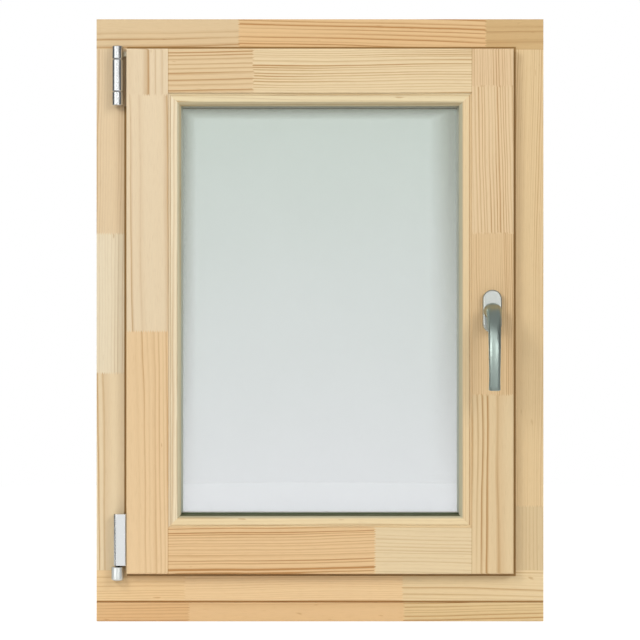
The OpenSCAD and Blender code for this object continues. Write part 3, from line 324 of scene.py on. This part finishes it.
# Sash: two stiles and two rails from the same laminated pine, with glued twin tenons.
# Their flange laps over the frame on the room side.
sash_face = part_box("sash_left_stile")[0].y
shoulders = [("along", side * 0.22, 0.0009, (0.75, 0.64, 0.52)) for side in (-1, 1)]
for bar, run, middle, joints, boards, seed, seams in (
        ("left_stile", "z", -0.252, [0.424, 0.766],
         [(228, 197, 153, 1.3), (227, 206, 172, 1.3), (226, 205, 171, 1.3)], 211.0, []),
        ("right_stile", "z", 0.252, [0.332, 0.566, 0.779],
         [(222, 197, 155, 2.3), (220, 190, 146, 2.3), (225, 198, 157, 3.6), (222, 193, 152, 2.3)], 257.0, []),
        ("top_rail", "x", 0.806, [-0.0945],
         [(223, 196, 154, 2.6), (228, 205, 164, 3.8)], 307.0, shoulders),
        ("bottom_rail", "x", 0.097, [0.0815],
         [(226, 192, 145, 4.2), (225, 203, 163, 1.0)], 353.0, shoulders)):
    dress(pine("pine_" + bar, run, middle, joints, boards, seed, sash_face, seams), "sash_" + bar)


# Sealed unit: two panes of float glass, an aluminium spacer between them and a black edge seal.
# It stands on plastic setting blocks, between two strips of glazing tape.
def float_glass(name, clear, paints_bead_shade=False):
    """Glass with a faint tint, paler at the foot and darker at the head as a painted reflection of the room. A
    pane that paints bead shade also darkens at the top and the sides, as painted shade of the beads.
    """

    def cast(shade):
        spot = shade.node("ShaderNodeTexCoord", output="Object")
        cloud = shade.node("ShaderNodeTexNoise", inputs={"Vector": spot, "Scale": 3.0, "Detail": 1.0})
        wide = shade.node("ShaderNodeSeparateXYZ", inputs={0: spot})
        height = wide.output("Z")
        # From foot to head the colour goes from pale to darker and greener: a painted reflection of the room
        # over the glass's own faint tint.
        foot, rise, foot_tint, head_tint_and_reflection = 0.16, 1.7, (0.891, 0.903, 0.916, 1.0), (0.768, 0.820, 0.780, 1.0)
        base = shade.mix((height - foot) * rise + (cloud - 0.5) * 0.2, foot_tint, head_tint_and_reflection)
        if paints_bead_shade:
            # Painted shade of the beads: darker along the top edge, and along the side edges more towards the
            # head.
            top, left, right = (shade.node("ShaderNodeMapRange", inputs={0: place, 1: clean, 2: dark})
                                for place, clean, dark in (
                                    (height, 0.7302, 0.7491), (wide, -0.180, -0.198), (wide, 0.160, 0.1905)))
            painted_bead_shade = shade.math("MAXIMUM", top, shade.math("MAXIMUM", left, right) * (height * 1.15 - 0.20))
            base = shade.mix(painted_bead_shade, base, (0.47, 0.45, 0.38, 1.0), "MULTIPLY")
        return {"Base Color": base}

    return surface(name, {"Roughness": 0.0, "IOR": 1.5, "Transmission Weight": clear}, cast)


# The inner pane is hazy and carries the painted shade of the beads; the outer pane is clear.
dress(float_glass("hazy_glass_painted_shade", 0.8, True), "inner_pane")
dress(float_glass("clear_glass", 1.0), "outer_pane")
dress(metal("spacer_aluminium", (196, 198, 198), "x", 0.06, 0.45, 0.1), "spacer_bar")
dress(moulded("edge_seal_rubber", (38, 38, 37), 0.55, 900.0), "edge_seal")
dress(moulded("block_plastic", (70, 96, 120), 0.45, 1500.0), "setting_blocks")
dress(moulded("glazing_tape", (186, 192, 182), 0.7, 2200.0, (0.1582, (84, 94, 68))),
      "inner_glazing_tape", "outer_glazing_tape")


# Glazing beads: four mitred mouldings of the same pine, pinned into the rebate in front of
# the glass. Their slopes are tinted darker and cooler, by a different amount on each side, and the bottom bead
# is darker along its foot.
for bead, run, middle, look, seed, inner, tint in (
        ("left_bead", "z", -0.213, (235, 219, 187, 0.8), 401.0, -0.202, (0.80, 0.86, 0.84)),
        ("right_bead", "z", 0.213, (227, 202, 159, 0.8), 431.0, 0.202, (0.68, 0.83, 0.98)),
        ("top_bead", "x", 0.764, (229, 211, 171, 0.8), 461.0, 0.7495, (0.95, 0.98, 1.0)),
        ("bottom_bead", "x", 0.140, (232, 210, 167, 0.8), 491.0, 0.156, (0.64, 0.72, 0.80))):
    slope_w, foot_w, foot_tint = 0.0056, 0.0024, (0.17, 0.20, 0.15)
    bands = [("across", inner, slope_w, tint)]
    if bead == "bottom_bead":
        bands.append(("across", inner, foot_w, foot_tint))
    dress(pine("pine_" + bead, run, middle, [], [look], seed, sash_face, bands), bead)


# Seals: an extruded rubber lip pressed into the sash all round, which closes on the frame, and a
# flat brown strip stuck on the frame's face, where the sash's flange stops.
dress(moulded("seal_rubber", (62, 55, 48), 0.6, 1200.0), "sash_seal")
# The strip's dark brown is partly its own colour and partly painted shade of the gap round the sash.
dress(moulded("brown_lap_strip_painted_gap_shade", (148, 114, 66), 0.75, 1200.0), "lap_seal")


# Locking gear: a die-cast gearbox behind the handle, a pinion and racked rod, faceplates screwed
# over them, cams that run in the plates' slots, and keeps on the frame. All zinc plated.
dress(metal("die_cast_zinc", (158, 161, 163), "z", 0.1, 0.45, 0.12), "gearbox_case")
dress(zinc_plating, "lock_faceplate", "corner_drive", "top_faceplate", "stay_guide", "pinion", "drive_rod",
      "locking_cams", "top_rod", "top_cam", "spindle", "upper_keep", "lower_keep", "head_keep")
dress(zinc_plating, "faceplate_screws", "stay_guide_screws", "keep_screws", "handle_screws")


# Handle: a cast aluminium lever turning in a rosette, satin anodised. The rosette is a drawn cover
# that clips over a plastic base, which is screwed through to the gearbox.
satin = metal("satin_lever", (166, 180, 173), "z", 0.03, 0.30, 0.06, 0.00001)
bright_satin = metal("satin_rosette", (195, 199, 194), "z", 0.02, 0.38, 0.06, 0.00001)
dress(moulded("base_plastic", (172, 172, 168), 0.5, 1500.0), "handle_base")


def part_of_window(name, shape, material, body, stands_for):
    """Makes a bmesh a piece of the window in place of a CAD node."""
    bmesh.ops.remove_doubles(shape, verts=shape.verts, dist=0.000001)
    bmesh.ops.recalc_face_normals(shape, faces=shape.faces)
    data = bpy.data.meshes.new(name)
    shape.to_mesh(data)
    shape.free()
    data.shade_smooth()
    data.set_sharp_from_angle(angle=math.radians(35.0))
    data.materials.append(material)
    made = bpy.data.objects.new(name, data)
    bpy.context.scene.collection.objects.link(made)
    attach(made, body)
    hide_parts(stands_for)
    return made


rosette_low, rosette_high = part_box("handle_rosette")
axis_x = (rosette_low.x + rosette_high.x) / 2
axis_z = (rosette_low.z + rosette_high.z) / 2
rosette_w, rosette_h = rosette_high.x - rosette_low.x, rosette_high.z - rosette_low.z
cover_wall, neck_hole, rim_round, rim_w, sides = 0.0014, 0.0094, 0.0022, 0.0026, 40

# Rosette's section, drawn from the back of the wall over the front to the hole: radius and y
half_w, front = rosette_w / 2, rosette_low.y
section = [
    (half_w - cover_wall, rosette_high.y), (half_w, rosette_high.y), (half_w, front),
    (half_w - rim_w, front), (neck_hole, front), (neck_hole, front + cover_wall),
    (half_w - cover_wall, front + cover_wall)]
rosette = bmesh.new()
turned = Matrix.Rotation(math.pi / sides, 4, "Z")
bmesh.ops.create_circle(rosette, segments=sides, radius=1.0, matrix=turned)
spots = rosette.verts.layers.float_vector.new("spot")
for v in rosette.verts:
    v[spots] = v.co
loop = rosette.edges[:]
for i, (radius, y) in enumerate(section + section[:1]):
    if i:
        grown = bmesh.ops.extrude_edge_only(rosette, edges=loop)["geom"]
        fresh = {made for made in grown if isinstance(made, bmesh.types.BMVert)}
        loop = [made for made in grown
                if isinstance(made, bmesh.types.BMEdge) and fresh.issuperset(made.verts)]
    if i == 2:
        rim = loop
    for v in {v for edge in loop for v in edge.verts}:
        end = math.copysign((rosette_h - rosette_w) / 2, v[spots].y) if radius > neck_hole else 0.0
        v.co = axis_x + v[spots].x * radius, y, axis_z + v[spots].y * radius + end
bmesh.ops.bevel(rosette, geom=rim, offset=rim_round, segments=5, profile=0.5, affect="EDGES", material=-1)
part_of_window("rosette_cover", rosette, bright_satin, "sash", "handle_rosette")

# Lever's rings, in mm: drop from the axis, height over the sash, width, thickness, and how square they are
lever = bmesh.new()
bmesh.ops.create_circle(lever, cap_ends=True, segments=24, radius=1.0)
spots = lever.verts.layers.float_vector.new("spot")
for v in lever.verts:
    v[spots] = v.co
end_face = lever.faces[:][0]
rings = [
    (0.0, 0.6, 18.0, 18.0, 1.0), (0.0, 1.2, 18.0, 18.0, 1.0), (0.0, 10.2, 18.0, 18.0, 1.0),
    (0.0, 11.2, 19.0, 18.6, 1.0), (0.0, 11.3, 26.0, 23.6, 1.0), (0.0, 11.9, 26.9, 24.6, 1.0),
    (0.0, 15.5, 26.9, 24.6, 1.0), (0.1, 21.5, 26.5, 24.3, 1.0), (1.4, 30.5, 24.9, 23.0, 0.95),
    (4.8, 39.0, 22.4, 20.0, 0.9), (11.0, 46.0, 20.2, 17.0, 0.85), (19.5, 51.0, 19.0, 14.9, 0.8),
    (30.0, 54.3, 18.4, 13.5, 0.78), (42.0, 56.4, 18.0, 12.6, 0.76), (56.5, 57.2, 17.7, 11.8, 0.76),
    (71.0, 57.0, 17.2, 11.3, 0.76), (86.0, 56.2, 16.5, 10.7, 0.76), (99.0, 55.1, 16.2, 10.3, 0.74),
    (110.5, 53.9, 17.0, 10.2, 0.70), (112.5, 53.6, 16.8, 10.0, 0.70), (113.0, 53.5, 15.6, 8.8, 0.72)]
places = [Vector((axis_x, sash_face - out / 1000, axis_z - drop / 1000)) for drop, out, *_ in rings]
for i, (_, _, wide, thick, square) in enumerate(rings):
    if i:
        grown = bmesh.ops.extrude_face_region(lever, geom=[end_face])["geom"]
        if i > 1:
            bmesh.ops.delete(lever, geom=[end_face], context="FACES_ONLY")
        end_face = next(made for made in grown if isinstance(made, bmesh.types.BMFace))
    heading = (places[min(i + 1, len(rings) - 1)] - places[max(i - 1, 0)]).normalized()
    upward = Vector((1, 0, 0)).cross(heading)
    for v in end_face.verts:
        wide_part, thick_part = (math.copysign(abs(part) ** square, part) for part in v[spots].xy)
        v.co = places[i] + Vector((wide_part * wide, 0, 0)) / 2000 + upward * thick_part * thick / 2000
lever_piece = part_of_window("lever_casting", lever, satin, "handle", "handle_lever")
rounding = lever_piece.modifiers.new("rounding", "SUBSURF")
rounding.levels = rounding.render_levels = 2


# Floor, light and camera: a pale floor, a soft light from the upper left and a fill from the right.
# The camera stands square in front of the window.
def lamp(name, place, target, width, height, power):
    light = bpy.data.lights.new(name, "AREA")
    light.shape = "RECTANGLE"
    light.size, light.size_y = width, height
    light.energy = power
    held = bpy.data.objects.new(name, light)
    aim = (Vector(target) - Vector(place)).to_track_quat("-Z", "Y").to_matrix().to_4x4()
    held.matrix_world = Matrix.Translation(place) @ aim
    held.visible_glossy = False
    bpy.context.scene.collection.objects.link(held)


window_middle = (0.0, 0.0, 0.42)
lamp("left_light", (-1.9, -2.6, 2.1), window_middle, 1.2, 1.5, 47.5)
lamp("right_light", (1.9, -2.6, 1.9), window_middle, 1.2, 1.5, 37.0)

floor_radius, floor_middle = 1.75, (0.0, 1.3, 0.0)
floor_mesh = bmesh.new()
bmesh.ops.create_circle(floor_mesh, cap_ends=True, segments=96, radius=floor_radius,
                        matrix=Matrix.Translation(floor_middle))
floor_data = bpy.data.meshes.new("floor")
floor_mesh.to_mesh(floor_data)
floor_mesh.free()
floor = bpy.data.objects.new("floor", floor_data)
bpy.context.scene.collection.objects.link(floor)
floor_look = bpy.data.materials.new("pale_floor")
floor_look.use_nodes = True
floor_tree = floor_look.node_tree
floor_shade = Shade(floor_tree)
paths = floor_shade.node("ShaderNodeLightPath", output="Is Camera Ray")
seen = floor_shade.math(
    "MINIMUM", paths + paths.output("Is Glossy Ray") + paths.output("Is Transmission Ray"), 1.0)
lit = floor_shade.node("ShaderNodeBsdfDiffuse", inputs={"Color": (0.88, 0.88, 0.87, 1.0)})
white = floor_shade.node("ShaderNodeEmission", inputs={"Color": grey(1.0), "Strength": 1.25})
blended = floor_shade.node("ShaderNodeMixShader", inputs={0: seen * 0.7, 1: lit, 2: white})
floor_tree.links.new(blended.socket, floor_tree.nodes["Material Output"].inputs["Surface"])
floor_data.materials.append(floor_look)

# World: white for the camera and through the panes, a soft grey as light. Metal mirrors a dim room
# with a pale screen and two bright strips in front, and white behind.
world = bpy.data.worlds.new("studio")
bpy.context.scene.world = world
world.use_nodes = True
sky = Shade(world.node_tree)
paths = sky.node("ShaderNodeLightPath", output="Is Camera Ray")
way = sky.node("ShaderNodeSeparateXYZ", inputs={0: sky.node("ShaderNodeTexCoord", output="Generated")})
seen = sky.math("MINIMUM", paths + paths.output("Is Transmission Ray"), 1.0)
open_air = sky.math("MINIMUM", paths + (way.output("Y") > 0.0), 1.0) * 0.38 + 0.62


def fade(value, dark, bright):
    return sky.node("ShaderNodeMapRange", {"interpolation_type": "SMOOTHSTEP"}, {0: value, 1: dark, 2: bright})


ahead, high = way.output("Y"), way.output("Z")
low = fade(high, -0.02, -0.07)
screen = (fade(way - low * 0.6, -0.94, -0.84) * fade(way, 0.40, 0.26) * fade(ahead, -0.24, -0.40)
          * fade(high, -0.34, -0.10) * fade(high, 0.42, 0.28))
strips = ((fade(way, -0.95, -0.86) * fade(way, -0.34, -0.44) * fade(high, -0.06, -0.02)
           + fade(way, 0.10, 0.15) * fade(way, 0.75, 0.45) * fade(high, -0.035, 0.005))
          * fade(ahead, -0.1, -0.2) * fade(high, 0.07, 0.03))
room = sky.mix(fade(high, 0.05, -0.05) * fade(way, -0.42, -0.32) + fade(high, 0.25, 0.5) * 0.9,
               grey(0.14), grey(0.42))
room = sky.mix(screen, room, fade(high, 0.10, 0.20) * 0.6 + 1.0)
room = sky.mix(strips, room, grey(7.5))
room = sky.mix(fade(ahead, 0.5, 0.8), room, grey(0.9))
soft = sky.mix(fade(ahead, 0.0, 0.4), (0.52, 0.525, 0.53, 1.0), (0.92, 0.925, 0.93, 1.0))
glossy = sky.mix(paths.output("Is Glossy Ray"), soft, room)
glow = sky.mix(seen, glossy, open_air)
world.node_tree.links.new(glow.socket, world.node_tree.nodes["Background"].inputs["Color"])

face_distance, picture_width, eye_height = 3.6, 0.931, 0.4385
camera = bpy.data.cameras.new("camera")
camera.sensor_width = 36.0
camera.lens = camera.sensor_width * face_distance / picture_width
viewer = bpy.data.objects.new("camera", camera)
viewer.location = (0.0, frame_face - face_distance, eye_height)
viewer.rotation_euler = (math.pi / 2, 0.0, 0.0)
bpy.context.scene.collection.objects.link(viewer)
bpy.context.scene.camera = viewer
bpy.context.scene.view_settings.view_transform = "Standard"
